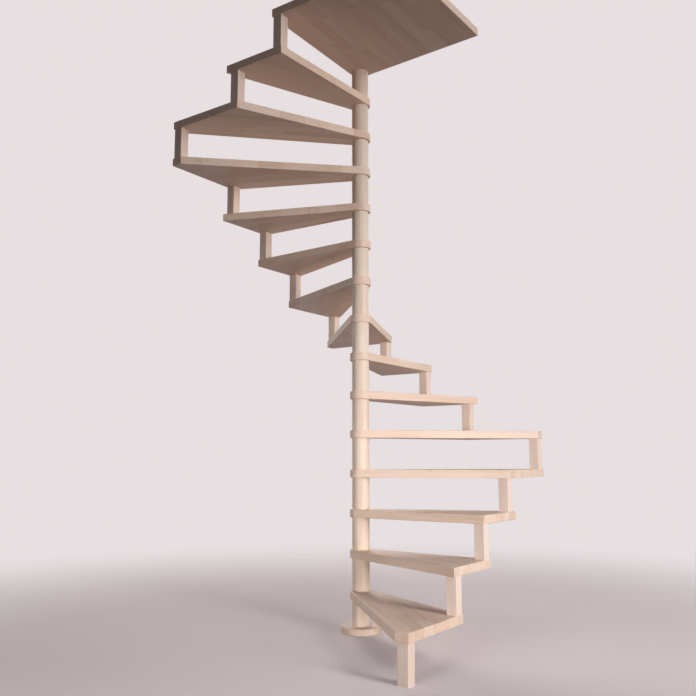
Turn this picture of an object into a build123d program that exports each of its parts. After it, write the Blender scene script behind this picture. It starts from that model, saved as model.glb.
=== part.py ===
from build123d import *
import math
import os

# A square-plan wooden spiral stair. Fourteen winder treads and a quarter landing are threaded on
# a round central column and climb counter-clockwise, seen from above. Each tread laps over the one
# below it, and a short square post in the lap carries it at the outer edge.
# Frame: the column's axis is Z, the floor is Z = 0, and the plan square's sides lie along X and Y.

# ---- driving dimensions, mm ----
HALF_WIDTH = 700.0          # from the column's axis to the outer faces of the treads
RISE = 200.0                # floor to tread, and tread to tread
TREAD_COUNT = 14            # treads between the floor and the landing
TREAD_THICKNESS = 40.0
LANDING_THICKNESS = 40.0
COLUMN_RADIUS = 44.0        # turned spacers between the treads
COLLAR_WIDTH = 11.0         # a tread's rounded inner end stands out from the column all round
BASE_RADIUS = 100.0         # floor disc under the column
BASE_THICKNESS = 30.0

POST_SIDE = 50.0            # square section of the outer posts
POST_INSET = 4.0            # posts stand back from the treads' outer faces
POST_SHIFT = 15.0           # posts at the slanting joints stand nearer to the middle of the side

LEDGE_MIDDLE = 5.0          # tread past the post, at the joint in the middle of a side
LEDGE_NEAR = 1.0            # tread past the post at a slanting joint, towards the middle of the side
LEDGE_FAR = 25.0            # the same, towards the corner of the plan
LEDGE_CORNER = 6.0          # tread past the post, at the joint in a corner of the plan

TREAD_EASE = 2.0            # rounding of the long edges of treads and landing
POST_EASE = 2.5             # rounding of a post's upright edges
SPACER_EASE = 1.5           # chamfer round both ends of a spacer
BASE_EASE = 3.0             # rounding of the floor disc's upper rim

# ---- places that follow from them ----
NOSE_RADIUS = COLUMN_RADIUS + COLLAR_WIDTH
TREADS_PER_SIDE = 4
TURN_PER_TREAD = 90.0 / TREADS_PER_SIDE
SLANT_JOINT = HALF_WIDTH * math.tan(math.radians(TURN_PER_TREAD))
SLANT_POST = SLANT_JOINT - POST_SHIFT
SLANT_NEAR = SLANT_POST - POST_SIDE / 2 - LEDGE_NEAR
SLANT_FAR = SLANT_POST + POST_SIDE / 2 + LEDGE_FAR
MIDDLE_LAP = POST_SIDE / 2 + LEDGE_MIDDLE
CORNER_CUT = POST_INSET + POST_SIDE + LEDGE_CORNER
LANDING_LEVEL = TREAD_COUNT + 1

# Outer corners of the four tread shapes of one side, which is X = HALF_WIDTH, in climbing order.
# The same four come again on the next side, turned by 90 degrees.
CORNER_POINT = (HALF_WIDTH, -HALF_WIDTH)
TREAD_CORNERS = [
    [(HALF_WIDTH - CORNER_CUT, -HALF_WIDTH), CORNER_POINT, (HALF_WIDTH, -SLANT_NEAR)],
    [(HALF_WIDTH, -SLANT_FAR), (HALF_WIDTH, MIDDLE_LAP)],
    [(HALF_WIDTH, -MIDDLE_LAP), (HALF_WIDTH, SLANT_FAR)],
    [(HALF_WIDTH, SLANT_NEAR), (HALF_WIDTH, HALF_WIDTH), (HALF_WIDTH - CORNER_CUT, HALF_WIDTH)],
]
# The landing fills a quarter of the square: it starts where a tread after the last would start,
# and ends where the tread over the second one would end.
LANDING_CORNERS = [(-MIDDLE_LAP, -HALF_WIDTH), CORNER_POINT, (HALF_WIDTH, MIDDLE_LAP)]

# Centres of the posts on that side: in the corner, then at its three joints.
POST_LINE = HALF_WIDTH - POST_INSET - POST_SIDE / 2
POST_CENTRES = [
    (POST_LINE, -POST_LINE),
    (POST_LINE, -SLANT_POST),
    (POST_LINE, 0.0),
    (POST_LINE, SLANT_POST),
]


def nose_tangent(corner, side):
    """Point where the line from an outer corner touches the nose circle; side is -1 or +1."""
    x, y = corner
    distance = math.hypot(x, y)
    angle = math.atan2(y, x) + side * math.acos(NOSE_RADIUS / distance)
    return (NOSE_RADIUS * math.cos(angle), NOSE_RADIUS * math.sin(angle))


def board(corners, thickness, bottom):
    """Flat board with a round nose on the axis, straight front and rear edges, and eased edges."""
    front = nose_tangent(corners[0], -1)
    rear = nose_tangent(corners[-1], +1)
    # The two tangent points are under half a turn apart on the side away from the corners.
    away = math.atan2(front[1] + rear[1], front[0] + rear[0])
    nose_tip = (NOSE_RADIUS * math.cos(away), NOSE_RADIUS * math.sin(away))
    with BuildPart() as made:
        with BuildSketch(Plane.XY.offset(bottom)):
            with BuildLine():
                Polyline(front, *corners, rear)
                ThreePointArc(rear, nose_tip, front)
            make_face()
        extrude(amount=thickness)
        flat_faces = made.faces().filter_by(Axis.Z)
        fillet(flat_faces.edges(), TREAD_EASE)
    return made.part


def cylinder_between(radius, bottom, top):
    """Upright cylinder on the column's axis."""
    with BuildPart() as made:
        with Locations((0, 0, bottom)):
            Cylinder(radius, top - bottom, align=(Align.CENTER, Align.CENTER, Align.MIN))
    return made.part


def spacer(bottom, top):
    """Turned length of the column, with both ends slightly chamfered."""
    turned = cylinder_between(COLUMN_RADIUS, bottom, top)
    return chamfer(turned.edges().filter_by(GeomType.CIRCLE), SPACER_EASE)


def post(centre, bottom, top):
    """Square post with eased upright edges, its faces along X and Y."""
    x, y = centre
    with BuildPart() as made:
        with Locations((x, y, bottom)):
            Box(POST_SIDE, POST_SIDE, top - bottom, align=(Align.CENTER, Align.CENTER, Align.MIN))
        fillet(made.edges().filter_by(Axis.Z), POST_EASE)
    return made.part


def turned_to_side(shape, step):
    """The shape of the first side, turned to the side that this step of the climb is on."""
    quarter_turns = step // TREADS_PER_SIDE
    return shape.rotate(Axis.Z, 90.0 * quarter_turns)


def tread_top(number):
    """Height of a tread's upper face; tread 0 is the floor."""
    return number * RISE


def underside(number):
    """Height of the lower face of a tread, or of the landing, which is the level after the last."""
    thickness = LANDING_THICKNESS if number == LANDING_LEVEL else TREAD_THICKNESS
    return tread_top(number) - thickness


def save(shape, name):
    export_step(shape, f"parts/{name}.step")


os.makedirs("parts", exist_ok=True)

base_disc = cylinder_between(BASE_RADIUS, 0.0, BASE_THICKNESS)
upper_rim = base_disc.edges().filter_by(GeomType.CIRCLE).sort_by(Axis.Z)[-1]
save(fillet(upper_rim, BASE_EASE), "base_disc")

for step in range(TREAD_COUNT):
    number = step + 1
    corners = TREAD_CORNERS[step % TREADS_PER_SIDE]
    tread = board(corners, TREAD_THICKNESS, underside(number))
    save(turned_to_side(tread, step), f"tread_{number:02d}")

landing = board(LANDING_CORNERS, LANDING_THICKNESS, underside(LANDING_LEVEL))
save(landing, "landing")

# Spacer and post of each rise: from the floor disc or the floor to the first tread, then from
# tread to tread, and last from the top tread to the landing.
for step in range(LANDING_LEVEL):
    number = step + 1
    seat = tread_top(step)
    spacer_foot = BASE_THICKNESS if step == 0 else seat
    save(spacer(spacer_foot, underside(number)), f"column_spacer_{number:02d}")
    outer_post = post(POST_CENTRES[step % TREADS_PER_SIDE], seat, underside(number))
    save(turned_to_side(outer_post, step), f"post_{number:02d}")
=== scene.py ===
# %% [markdown]
# Dressing a square-plan wooden spiral stair
#
# The frame holds the stair's solids at their real size: a round floor disc, the column in turned
# lengths, fourteen treads, a quarter landing, and fifteen short square posts at the outer edge,
# one under each tread and one under the landing. This lesson gives them the finish of the real
# thing: pale beech, glued up from narrow staves and rubbed with white oil. The frame is loaded
# first.

# %% Load the frame
import math
import random
from bisect import bisect
import bpy
from mathutils import Matrix, Vector


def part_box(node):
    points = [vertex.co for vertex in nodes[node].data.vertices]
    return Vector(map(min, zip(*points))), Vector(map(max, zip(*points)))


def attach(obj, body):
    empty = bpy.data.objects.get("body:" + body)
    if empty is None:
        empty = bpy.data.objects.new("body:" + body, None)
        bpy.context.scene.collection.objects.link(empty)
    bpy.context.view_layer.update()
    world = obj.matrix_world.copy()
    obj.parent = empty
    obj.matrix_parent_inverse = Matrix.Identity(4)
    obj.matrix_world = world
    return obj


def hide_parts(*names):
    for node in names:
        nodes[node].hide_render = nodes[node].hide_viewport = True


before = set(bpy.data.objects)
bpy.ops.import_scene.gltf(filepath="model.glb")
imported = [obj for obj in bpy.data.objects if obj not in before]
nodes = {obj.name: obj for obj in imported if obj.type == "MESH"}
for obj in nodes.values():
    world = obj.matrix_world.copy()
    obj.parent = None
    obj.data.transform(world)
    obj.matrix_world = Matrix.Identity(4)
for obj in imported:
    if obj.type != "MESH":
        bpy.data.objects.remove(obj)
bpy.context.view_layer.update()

# %% [markdown]
# Which solid is which is read from the names. They could be typed out in full, but then one is
# easily forgotten. The rise from one tread to the next is read from two treads' boxes, so the
# finish follows when the stair is made with another rise.

# %% Sort the solids and read the rise
def named(start):
    return sorted(name for name in nodes if name.startswith(start))


TREADS = named("tread_")
POSTS = named("post_")
SPACERS = named("column_spacer_")
BOARDS = TREADS + ["landing", "base_disc"]

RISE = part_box("tread_02")[1].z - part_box("tread_01")[1].z
print("rise", round(RISE, 3), "boards", len(BOARDS), "posts", len(POSTS),
      "column lengths", len(SPACERS))

# %% [markdown]
# Every operator acts on whatever is selected, and a freshly loaded frame is selected all over.
# Two small helpers keep that in hand: one selects a single object, and one selects some of its
# faces and leaves the object in edit mode, ready for the next step.

# %% Helpers for selecting
def select_only(piece):
    bpy.ops.object.select_all(action="DESELECT")
    piece.select_set(True)
    bpy.context.view_layer.objects.active = piece


def select_faces(piece, wanted):
    bpy.ops.object.mode_set(mode="EDIT")
    bpy.ops.mesh.select_mode(type="FACE")
    bpy.ops.mesh.select_all(action="DESELECT")
    bpy.ops.object.mode_set(mode="OBJECT")
    for face in piece.data.polygons:
        face.select = wanted(face)
    bpy.ops.object.mode_set(mode="EDIT")


select_only(nodes["landing"])
print("selected:", [piece.name for piece in bpy.context.selected_objects])

# %% [markdown]
# A stair board is not one plank. Staves four to six centimetres wide are finger-jointed to
# length, glued edge to edge and sanded flush, so the surface is flat but the tone changes from
# stave to stave. It could be painted on with a brick-like texture. Here the board's own mesh is
# cut along the seams with bisect, so each stave is a group of real faces, and the seams run round
# the edges as they do on the real board. The cuts need a clean mesh, so a board is copied, its
# corners are merged and its flat faces are made whole again. The copy's custom properties are
# deleted, because they mark it as one of the frame's own solids.

# %% Copy a board and make its faces whole
MERGE_WITHIN = 1e-6
FLAT_WITHIN = math.radians(0.5)


def whole_copy(node, name):
    piece = nodes[node].copy()
    piece.data = nodes[node].data.copy()
    piece.name = name
    piece.data.name = name
    piece.parent = None
    for key in list(piece.keys()):
        del piece[key]
    bpy.context.scene.collection.objects.link(piece)
    select_only(piece)
    bpy.ops.mesh.customdata_custom_splitnormals_clear()
    bpy.ops.object.mode_set(mode="EDIT")
    bpy.ops.mesh.select_all(action="SELECT")
    bpy.ops.mesh.remove_doubles(threshold=MERGE_WITHIN)
    bpy.ops.mesh.dissolve_limited(angle_limit=FLAT_WITHIN)
    bpy.ops.object.mode_set(mode="OBJECT")
    return piece


print("triangles on the landing as loaded:", len(nodes["landing"].data.polygons))

# %% [markdown]
# The staves follow the board's front edge, because a tread is sawn from a panel with that edge
# along its staves. The direction could be typed in for each board, but one rule that reads it from
# the mesh serves them all. Going up, the stair turns anticlockwise, so the front edge is the
# upright face that looks most clockwise. Small faces are passed over, so that no bit of a rounding
# is taken for it. A round board has no such edge, and takes a direction of its own.

# %% Find which way a board's staves run
UPRIGHT_UNDER = 0.5
SMALLEST_EDGE = 0.01
DISC_STAVES = Vector((0.8, 0.6, 0))


def front_edge(piece):
    """The way along the staves, the way across them, and a point on the front edge."""
    best = None
    for face in piece.data.polygons:
        if abs(face.normal.z) > UPRIGHT_UNDER or face.area < SMALLEST_EDGE:
            continue
        outward = Vector((face.center.x, face.center.y, 0)).normalized()
        clockwise = -outward.cross(face.normal).z
        if best is None or clockwise > best[0]:
            best = (clockwise, face)
    if best is None:
        across = Vector((-DISC_STAVES.y, DISC_STAVES.x, 0))
        return DISC_STAVES, across, Vector((0, 0, piece.bound_box[0][2]))
    face = best[1]
    into = -face.normal.normalized()
    along = Vector((into.y, -into.x, 0))
    if along.dot(face.center) < 0:
        along = -along
    return along, into, face.center - along * face.center.dot(along)


print("along the landing's front edge:",
      [round(v, 3) for v in front_edge(nodes["landing"])[0]])

# %% [markdown]
# Cutting. A row seam is one bisect through all faces. A finger joint crosses a single row, so only
# that row's faces are selected before its bisect. Rows of one width would look like tiles, so
# widths and lengths are drawn between two limits, from a seeded generator, so that the same board
# comes out each time. Slivers left by a cut that grazes a rounded edge are dissolved at the end.

# %% Cut a board into staves
STAVE_WIDTHS = (0.042, 0.058)
STAVE_LENGTHS = (0.30, 0.75)
FIRST_SHARE = (0.3, 1.0)
ROW_MARGIN = 0.012
JOINT_MARGIN = 0.06
ON_THE_CUT = 1e-7
SLIVER = 1e-5
SEED = 14
draw = random.Random(SEED)


def steps(low, high, sizes, margin):
    """Places from low to high, a drawn size apart, none nearer to high than the margin."""
    places = []
    place = low + draw.uniform(*FIRST_SHARE) * sizes[1]
    while place < high - margin:
        places.append(place)
        place += draw.uniform(*sizes)
    return places


def cut(place, across):
    bpy.ops.mesh.bisect(plane_co=place, plane_no=across, use_fill=False,
                        clear_inner=False, clear_outer=False, threshold=ON_THE_CUT)


def cut_into_staves(piece, along, into, start):
    """Cuts the mesh along its seams and returns the seams and each row's joints."""
    depths = [(v.co - start).dot(into) for v in piece.data.vertices]
    runs = [(v.co - start).dot(along) for v in piece.data.vertices]
    seams = steps(min(depths), max(depths), STAVE_WIDTHS, ROW_MARGIN)
    bpy.ops.object.mode_set(mode="EDIT")
    for seam in seams:
        bpy.ops.mesh.select_all(action="SELECT")
        cut(start + into * seam, into)
    bpy.ops.object.mode_set(mode="OBJECT")
    joints = []
    for row in range(len(seams) + 1):
        joints.append(steps(min(runs), max(runs), STAVE_LENGTHS, JOINT_MARGIN))
        for place in joints[row]:
            select_faces(piece, lambda f: bisect(seams, (f.center - start).dot(into)) == row)
            cut(start + along * place, along)
            bpy.ops.object.mode_set(mode="OBJECT")
    bpy.ops.object.mode_set(mode="EDIT")
    bpy.ops.mesh.select_all(action="SELECT")
    bpy.ops.mesh.dissolve_degenerate(threshold=SLIVER)
    bpy.ops.object.mode_set(mode="OBJECT")
    return seams, joints


print("staves", STAVE_WIDTHS, "m wide and", STAVE_LENGTHS, "m long")

# %% [markdown]
# The grain. Each stave was sawn from somewhere else in some log, so its figure starts anywhere
# and its growth rings lie at any angle. A texture in the board's own space would run on across
# the seams, so two attributes give the material each stave's own place. One is the point where a
# face corner lies in its stave's log, with x along the trunk. The other is three random numbers:
# the first sets the stave's tone, the second its hue, and the third is spare. The front row is
# what one sees of every tread when walking up, so staves of much the same tone are picked for it.

# %% Give every stave its own piece of log
FRONT_ROW_SPREAD = 0.3
MIDDLE_TONE = 0.5
ALONG_LOG = 20
FROM_HEART = (0.05, 0.16)


def log_places(piece, along, into, start, seams, joints):
    """Writes both attributes and returns the number of staves."""
    place = piece.data.attributes.new("log_place", "FLOAT_VECTOR", "CORNER")
    tone = piece.data.attributes.new("stave_tone", "FLOAT_VECTOR", "FACE")
    staves = {}
    for face in piece.data.polygons:
        middle = face.center - start
        row = bisect(seams, middle.dot(into))
        part = bisect(joints[row], middle.dot(along))
        if (row, part) not in staves:
            spread = FRONT_ROW_SPREAD if row == 0 else 1.0
            staves[row, part] = {
                "origin": start + into * seams[min(row, len(seams) - 1)],
                "shift": draw.uniform(-ALONG_LOG, ALONG_LOG),
                "turn": draw.uniform(-math.pi, math.pi),
                "heart": draw.uniform(*FROM_HEART),
                "tone": [MIDDLE_TONE + spread * (draw.random() - MIDDLE_TONE) for _ in range(3)],
            }
        stave = staves[row, part]
        for corner in face.loop_indices:
            vertex = piece.data.loops[corner].vertex_index
            point = piece.data.vertices[vertex].co - stave["origin"]
            across = Vector((point.dot(into), point.z))
            across.rotate(Matrix.Rotation(stave["turn"], 2))
            place.data[corner].vector = (point.dot(along) + stave["shift"],
                                         across.x + stave["heart"], across.y)
        tone.data[face.index].vector = stave["tone"]
    return len(staves)


print("a stave lies", FROM_HEART, "m from the heart of its log")

# %% [markdown]
# Each board is glued up. Its rounded edges are shaded soft, and its flat faces keep a flat shade
# through weighted normals, in which the largest faces count most. A plain smooth shade would make
# the flat faces look swollen. The board rides with the stair and stands for its solid, which is
# hidden.

# %% Glue up the treads, the landing and the base disc
SOFT_UNDER = math.radians(35)
LARGE_FACES_COUNT = 100


def glued_board(node):
    piece = whole_copy(node, node + "_staves")
    along, into, start = front_edge(piece)
    seams, joints = cut_into_staves(piece, along, into, start)
    count = log_places(piece, along, into, start, seams, joints)
    select_only(piece)
    bpy.ops.object.shade_smooth_by_angle(angle=SOFT_UNDER)
    bpy.ops.object.modifier_add(type="WEIGHTED_NORMAL")
    piece.modifiers[-1].keep_sharp = True
    piece.modifiers[-1].weight = LARGE_FACES_COUNT
    bpy.ops.object.modifier_apply(modifier=piece.modifiers[-1].name)
    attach(piece, "root")
    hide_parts(node)
    return piece, count


boards = {}
for node in BOARDS:
    boards[node], count = glued_board(node)
    print(node, "staves", count, "faces", len(boards[node].data.polygons))

# %% [markdown]
# The materials share their building blocks, so a few small helpers make them. The first adds a
# node and sets its sockets, and joins a socket to another node's output where one is given. The
# others do one step of arithmetic, weigh several layers into one, stretch a range of values to
# nought and one, and turn a value into a colour.

# %% Helpers for the materials
def add(tree, kind, sockets, **settings):
    node = tree.nodes.new("ShaderNode" + kind)
    for key, value in settings.items():
        setattr(node, key, value)
    for key, value in sockets.items():
        if isinstance(value, bpy.types.NodeSocket):
            tree.links.new(value, node.inputs[key])
        else:
            node.inputs[key].default_value = value
    return node


def work_out(tree, operation, *values):
    """One step of arithmetic."""
    return add(tree, "Math", dict(enumerate(values)), operation=operation).outputs[0]


def weigh(tree, base, *layers):
    """The base value plus each layer times its share."""
    total = base
    for layer, share in layers:
        total = work_out(tree, "MULTIPLY_ADD", layer, share, total)
    return total


def stretch(tree, value, low, high, **settings):
    """Nought up to low, one from high on, and rising between them."""
    return add(tree, "MapRange", {"Value": value, "From Min": low, "From Max": high,
                                  "To Min": 0.0, "To Max": 1.0}, **settings).outputs[0]


def ramp(tree, value, *stops):
    """The colour that the value meets on a scale with these stops."""
    node = add(tree, "ValToRGB", {"Fac": value})
    elements = node.color_ramp.elements
    while len(elements) < len(stops):
        elements.new(0.5)
    for element, (position, colour) in zip(elements, stops):
        element.position = position
        element.color = (*colour, 1)
    return node.outputs[0]


print("helpers:", [f.__name__ for f in (add, work_out, weigh, stretch, ramp)])

# %% [markdown]
# Beech. Its figure is made of layers: slow bands of tone along the trunk, growth rings about two
# and a half millimetres apart, streaks and fine fibres, and the short brown flecks of the rays
# that mark beech. A flat picture of wood would smear over the edges. These are solid textures in
# the log's own space, so a seam, an end face and a rounded edge all show the right cut through the
# same wood. The rings are a wave that wanders a little, as they do in a tree, and every other
# layer is a noise with its own scale along the trunk and across it.

# %% The layers of the wood
BANDS = (2.2, 55, 55)
STREAKS = (5, 320, 320)
FIBRES = (40, 2400, 2400)
RAYS = (260, 1500, 1500)
RAYS_FROM, RAYS_TO = 0.62, 0.74
WANDER = (1.6, 9, 9)
WANDER_BY = (0.02, 0.02, 0.02)
RING_PERIOD = 0.0026
RING_WAVER = 0.8


def noise(tree, place, scale, detail=2.0, roughness=0.5):
    """Noise with its own scale along and across the trunk."""
    squeezed = add(tree, "Mapping", {"Vector": place, "Scale": scale}).outputs[0]
    return add(tree, "TexNoise", {"Vector": squeezed, "Scale": 1.0, "Detail": detail,
                                  "Roughness": roughness})


def wood_layers(tree, place):
    """Each layer's strength at a place in the trunk."""
    rays = noise(tree, place, RAYS, detail=0.0).outputs["Fac"]
    wander = noise(tree, place, WANDER, detail=1.0).outputs["Color"]
    bent = add(tree, "VectorMath", {0: wander, 1: WANDER_BY, 2: place},
               operation="MULTIPLY_ADD").outputs[0]
    # A ring wave of scale s repeats every pi / 10 / s, so the period gives the scale.
    rings = add(tree, "TexWave", {"Vector": bent, "Scale": math.pi / 10 / RING_PERIOD,
                                  "Distortion": RING_WAVER, "Detail": 1.0},
                wave_type="RINGS", rings_direction="X", wave_profile="SAW").outputs["Fac"]
    return {
        "bands": noise(tree, place, BANDS).outputs["Fac"],
        "streaks": noise(tree, place, STREAKS, detail=3.0, roughness=0.6).outputs["Fac"],
        "fibres": noise(tree, place, FIBRES, detail=2.0, roughness=0.6).outputs["Fac"],
        "rings": rings,
        "rays": stretch(tree, rays, RAYS_FROM, RAYS_TO),
    }


print("ring period", RING_PERIOD, "m")

# %% [markdown]
# White oil. The layers are weighed into one figure, from dark at nought to pale at one, and three
# colours are laid along it. The piece's own tone shifts the whole figure, and a faint cast sets
# the yellower pieces apart from the pinker ones. The oil could be a clear coat, but it soaks in
# and leaves only a quiet satin: a middling roughness that streaks and fibres break up, weak gloss,
# and a fine relief from the same layers.

# %% From the layers to the finish
FIGURE_BASE = -0.38
FIGURE_SHARES = {"tone": 0.38, "bands": 0.74, "streaks": 0.36, "fibres": 0.14, "rings": 0.14,
                 "rays": -0.22}
YELLOW_CAST = (1.0, 0.975, 0.95)
PINK_CAST = (0.99, 1.0, 0.995)
ROUGHNESS_BASE = 0.36
ROUGHNESS_SHARES = {"streaks": 0.22, "fibres": 0.10}
RELIEF_SHARES = {"fibres": 0.6, "rings": 0.3, "rays": -0.4}
RELIEF_STRENGTH = 0.12
RELIEF_DEPTH = 0.0003
GLOSS = 0.3


def weigh_layers(tree, base, layers, shares):
    return weigh(tree, base, *((layers[name], share) for name, share in shares.items()))


def mix_colours(tree, factor, one, other, **settings):
    # In a mix of colours, sockets 6 and 7 take the two colours and output 2 gives the result.
    return add(tree, "Mix", {"Factor": factor, 6: one, 7: other}, data_type="RGBA",
               **settings).outputs[2]


def beech(material, place, tone, hue, colours):
    """Gives the material's shader the colour, roughness and relief of the wood at place."""
    tree = material.node_tree
    layers = {"tone": tone, **wood_layers(tree, place)}
    figure = weigh_layers(tree, FIGURE_BASE, layers, FIGURE_SHARES)
    colour = ramp(tree, figure, (0.0, colours[0]), (0.5, colours[1]), (1.0, colours[2]))
    cast = ramp(tree, hue, (0.0, YELLOW_CAST), (1.0, PINK_CAST))
    shader = tree.nodes["Principled BSDF"]
    tree.links.new(mix_colours(tree, 1.0, colour, cast, blend_type="MULTIPLY"),
                   shader.inputs["Base Color"])
    tree.links.new(weigh_layers(tree, ROUGHNESS_BASE, layers, ROUGHNESS_SHARES),
                   shader.inputs["Roughness"])
    height = weigh_layers(tree, 0.0, layers, RELIEF_SHARES)
    relief = add(tree, "Bump", {"Height": height, "Strength": RELIEF_STRENGTH,
                                "Distance": RELIEF_DEPTH})
    tree.links.new(relief.outputs[0], shader.inputs["Normal"])
    shader.inputs["Specular IOR Level"].default_value = GLOSS
    print(material.name, "nodes", len(tree.nodes))


print("shares in the figure:", FIGURE_SHARES)

# %% [markdown]
# The boards read their place in the log and their tone from the two attributes that the gluing
# left on them, so one material serves every stave of every board.

# %% Finish the boards
BOARD_COLOURS = [(0.690, 0.475, 0.365), (0.850, 0.645, 0.525), (0.945, 0.765, 0.665)]


def new_material(name):
    material = bpy.data.materials.new(name)
    material.use_nodes = True
    return material


staves = new_material("oiled_beech_staves")
place = add(staves.node_tree, "Attribute", {}, attribute_name="log_place").outputs["Vector"]
tones = add(staves.node_tree, "Attribute", {}, attribute_name="stave_tone").outputs["Vector"]
tones = add(staves.node_tree, "SeparateXYZ", {0: tones})
beech(staves, place, tones.outputs[0], tones.outputs[1], BOARD_COLOURS)
for piece in boards.values():
    piece.data.materials.clear()
    piece.data.materials.append(staves)

# %% [markdown]
# The posts and the column are right as they are in shape, so they keep their solids and only get
# the wood. Their trunk stands upright, so height becomes the log's x. One level of the stair, from
# one tread's top to the next, holds one post and one column length. Each could have a material of
# its own. Here the level's number seeds a random shift, so one material makes no two of them the
# same piece of wood. Levels are counted from slightly below the treads' tops, so that no piece
# starts right on the line between two.

# %% Upright wood, a new piece on each level
POST_COLOURS = [(0.775, 0.580, 0.485), (0.895, 0.720, 0.625), (0.965, 0.820, 0.745)]
LEVEL_MARGIN = 0.05
SHIFT_ALONG = 20.0
SHIFT_ASIDE = 1.3


def levels(tree):
    """Object coordinates, the level's number, and three random numbers for it."""
    here = add(tree, "TexCoord", {}).outputs["Object"]
    height = add(tree, "SeparateXYZ", {0: here}).outputs["Z"]
    level = work_out(tree, "FLOOR", weigh(tree, LEVEL_MARGIN, (height, 1 / RISE)))
    chance = add(tree, "TexWhiteNoise", {"W": level}, noise_dimensions="1D").outputs["Color"]
    return here, level, add(tree, "SeparateXYZ", {0: chance}).outputs


def upright(tree, here, shifts):
    """The place in an upright trunk, shifted along it and sideways."""
    axes = add(tree, "SeparateXYZ", {0: here}).outputs
    return add(tree, "CombineXYZ", {
        "X": weigh(tree, axes["Z"], (shifts[0], SHIFT_ALONG)),
        "Y": weigh(tree, axes["X"], (shifts[1], SHIFT_ASIDE)),
        "Z": weigh(tree, axes["Y"], (shifts[2], SHIFT_ASIDE)),
    }).outputs[0]


square = new_material("oiled_beech_posts")
here, level, chances = levels(square.node_tree)
beech(square, upright(square.node_tree, here, chances), chances[1], chances[2], POST_COLOURS)
for name in POSTS:
    nodes[name].material_slots[0].material = square

# %% [markdown]
# A column length is turned from a blank of three or four laminations, so its tone steps slightly
# at upright seams. It could be cut like the boards, but these seams run straight up a round shape
# and over no edge that shows, so the material draws them just as well. The blank lies at its own
# angle on each level. The seams are found by turning the coordinates about the axis and counting
# lamination widths across them. The laminations are picked for tone, and differ half as much as
# most staves do. The column's timber is a shade paler than the boards', and the posts' is the
# palest.

# %% Finish the column
LAMINATION = 0.034
TONE_FROM = 0.25
TONE_SPAN = 0.5
COLUMN_COLOURS = [(0.690, 0.505, 0.395), (0.850, 0.685, 0.565), (0.945, 0.815, 0.720)]

turned = new_material("oiled_beech_column")
tree = turned.node_tree
here, level, chances = levels(tree)
angle = work_out(tree, "MULTIPLY", chances[0], math.tau)
blank = add(tree, "VectorRotate", {"Vector": here, "Angle": angle}).outputs[0]
across = add(tree, "SeparateXYZ", {0: blank}).outputs["X"]
layer = work_out(tree, "FLOOR", weigh(tree, chances[1], (across, 1 / LAMINATION)))
seed = add(tree, "CombineXYZ", {0: layer, 1: level}).outputs[0]
chances = add(tree, "TexWhiteNoise", {"Vector": seed}, noise_dimensions="3D").outputs["Color"]
chances = add(tree, "SeparateXYZ", {0: chances}).outputs
calm = weigh(tree, TONE_FROM, (chances[1], TONE_SPAN))
beech(turned, upright(tree, blank, chances), calm, chances[2], COLUMN_COLOURS)
for name in SPACERS:
    nodes[name].material_slots[0].material = turned

# %% [markdown]
# The floor under the stair keeps its shadow. It could be a square plane, but it is to fade out
# with distance, and a round disc suits that.

# %% Floor disc
FLOOR_RADIUS = 9
FLOOR_CORNERS = 96

bpy.ops.object.select_all(action="DESELECT")
bpy.ops.mesh.primitive_circle_add(vertices=FLOOR_CORNERS, radius=FLOOR_RADIUS, fill_type="NGON")
floor = bpy.context.active_object
floor.name = "studio_floor"
print("floor radius", FLOOR_RADIUS, "m")

# %% [markdown]
# The floor is pale. A pale floor throws so much light up that the undersides of the treads would
# lose their quiet shade, so it looks pale to the camera and in reflections only, and lights the
# wood as a darker, warmer floor would. It fades out with distance into a surrounding about as
# pale, so no hard horizon shows from any side.

# %% Floor's finish
FLOOR_SEEN = (0.780, 0.690, 0.700, 1)
FLOOR_LIGHTS = (0.245, 0.165, 0.155, 1)
FLOOR_GLOW = 0.12
FLOOR_FADES = (1.3, 4.4)
FLOOR_ROUGHNESS = 0.95
FLOOR_GLOSS = 0.1


def seen_directly(tree):
    """One for rays from the camera, from gloss and through glass, nought for the rest."""
    path = add(tree, "LightPath", {}).outputs
    seen = work_out(tree, "MAXIMUM", path["Is Camera Ray"], path["Is Glossy Ray"])
    return work_out(tree, "MAXIMUM", seen, path["Is Transmission Ray"])


ground = new_material("pale_floor")
floor.data.materials.append(ground)
tree = ground.node_tree
shader = tree.nodes["Principled BSDF"]
shader.inputs["Roughness"].default_value = FLOOR_ROUGHNESS
shader.inputs["Specular IOR Level"].default_value = FLOOR_GLOSS
shader.inputs["Emission Color"].default_value = FLOOR_SEEN
seen = seen_directly(tree)
tree.links.new(mix_colours(tree, seen, FLOOR_LIGHTS, FLOOR_SEEN), shader.inputs["Base Color"])
tree.links.new(work_out(tree, "MULTIPLY", seen, FLOOR_GLOW), shader.inputs["Emission Strength"])
centre = add(tree, "TexCoord", {}).outputs["Object"]
reach = add(tree, "VectorMath", {0: centre}, operation="LENGTH").outputs["Value"]
fade = stretch(tree, reach, *FLOOR_FADES, interpolation_type="SMOOTHSTEP")
clear = add(tree, "BsdfTransparent", {}).outputs[0]
mixed = add(tree, "MixShader", {0: fade, 1: shader.outputs[0], 2: clear}).outputs[0]
tree.links.new(mixed, tree.nodes["Material Output"].inputs["Surface"])
print("the floor fades from", FLOOR_FADES[0], "to", FLOOR_FADES[1], "m")

# %% [markdown]
# Beyond the floor there is only the world. A pale world would light the wood from all sides and
# flatten it, so it too looks pale to the camera and in reflections only, and lights the wood
# hardly at all.

# %% Surrounding
SURROUND_SEEN = (0.800, 0.740, 0.750, 1)
SKY_COLOUR = (1, 1, 1, 1)
SKY_STRENGTH = 0.01

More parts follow.
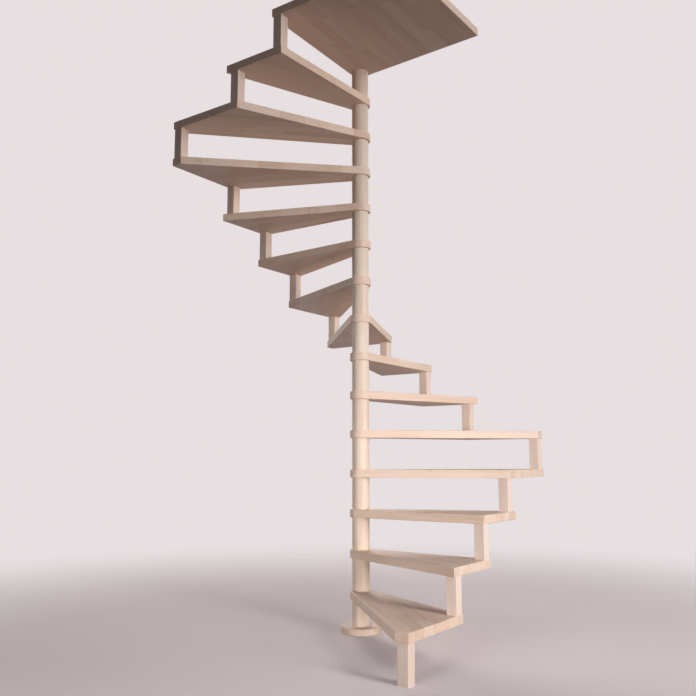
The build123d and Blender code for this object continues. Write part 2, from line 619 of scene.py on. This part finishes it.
world = bpy.data.worlds.new("studio")
bpy.context.scene.world = world
world.use_nodes = True
tree = world.node_tree
lights_wood = tree.nodes["Background"]
lights_wood.inputs["Strength"].default_value = SKY_STRENGTH
lights_wood.inputs["Color"].default_value = SKY_COLOUR
looks_pale = add(tree, "Background", {"Color": SURROUND_SEEN, "Strength": 1.0})
mixed = add(tree, "MixShader", {0: seen_directly(tree), 1: lights_wood.outputs[0],
                                2: looks_pale.outputs[0]}).outputs[0]
tree.links.new(mixed, tree.nodes["World Output"].inputs["Surface"])
print("sky strength", SKY_STRENGTH)

# %% [markdown]
# The lamps are large, soft and plain white. The first stands at the side above head height,
# where a row of windows would be. With a gridded one lower down, it makes the front edges and
# one face of each post bright, while the undersides stay quieter. A gridded lamp low in front
# opens the shadows of the lowest treads. Lit by these three alone, the stair would be a dark
# shape from behind and from above, so two lamps at the back, one at the left and one over the
# landing bring its other sides to a plain level. Each lamp points at the column's axis, at the
# height that its aim gives.

# %% Lamps
LAMPS = {
    "side_high": {"at": (5.0, -1.2, 3.2), "aim": 1.2, "size": 1.6, "spread": 180, "watts": 92},
    "side_low": {"at": (5.6, -1.2, 1.0), "aim": 0.7, "size": 1.6, "spread": 60, "watts": 20},
    "front_low": {"at": (0.9, -5.2, 0.8), "aim": 0.4, "size": 1.6, "spread": 45, "watts": 8.4},
    "back_right": {"at": (2.5, 5.0, 3.2), "aim": 1.4, "size": 3.0, "spread": 180, "watts": 44},
    "back_left": {"at": (-4.4, 4.4, 4.4), "aim": 1.6, "size": 3.0, "spread": 180, "watts": 176},
    "left": {"at": (-5.4, 1.2, 1.6), "aim": 1.5, "size": 3.0, "spread": 180, "watts": 32},
    "overhead": {"at": (0.3, -0.3, 5.4), "aim": 3.0, "size": 2.4, "spread": 180, "watts": 20},
}

for name, lamp in LAMPS.items():
    way = Vector((0, 0, lamp["aim"])) - Vector(lamp["at"])
    bpy.ops.object.light_add(type="AREA", location=lamp["at"],
                             rotation=way.to_track_quat("-Z", "Y").to_euler())
    light = bpy.context.active_object
    light.name = name
    light.data.shape = "DISK"
    light.data.size = lamp["size"]
    light.data.spread = math.radians(lamp["spread"])
    light.data.energy = lamp["watts"]
    print(name, "distance", round(way.length, 2), "watts", lamp["watts"])

# %% [markdown]
# The camera stands low, a little above table height and a little over three metres from the first
# tread, and looks slightly up along the turning treads. Its lens is an ordinary one, neither wide
# nor long.

# %% Camera
CAMERA_AT = (2.3171, -3.3606, 0.8620)
CAMERA_TILT = math.radians(97.907)
CAMERA_TURN = math.radians(35.505)
SENSOR_WIDTH = 36
LENS = 40.69

bpy.ops.object.camera_add(location=CAMERA_AT, rotation=(CAMERA_TILT, 0, CAMERA_TURN))
camera = bpy.context.active_object
camera.name = "studio_camera"
camera.data.sensor_width = SENSOR_WIDTH
camera.data.lens = LENS
camera.data.dof.use_dof = False
scene = bpy.context.scene
scene.camera = camera
scene.view_settings.view_transform = "Standard"
print("camera", [round(v, 3) for v in camera.location], "lens", LENS, "mm")
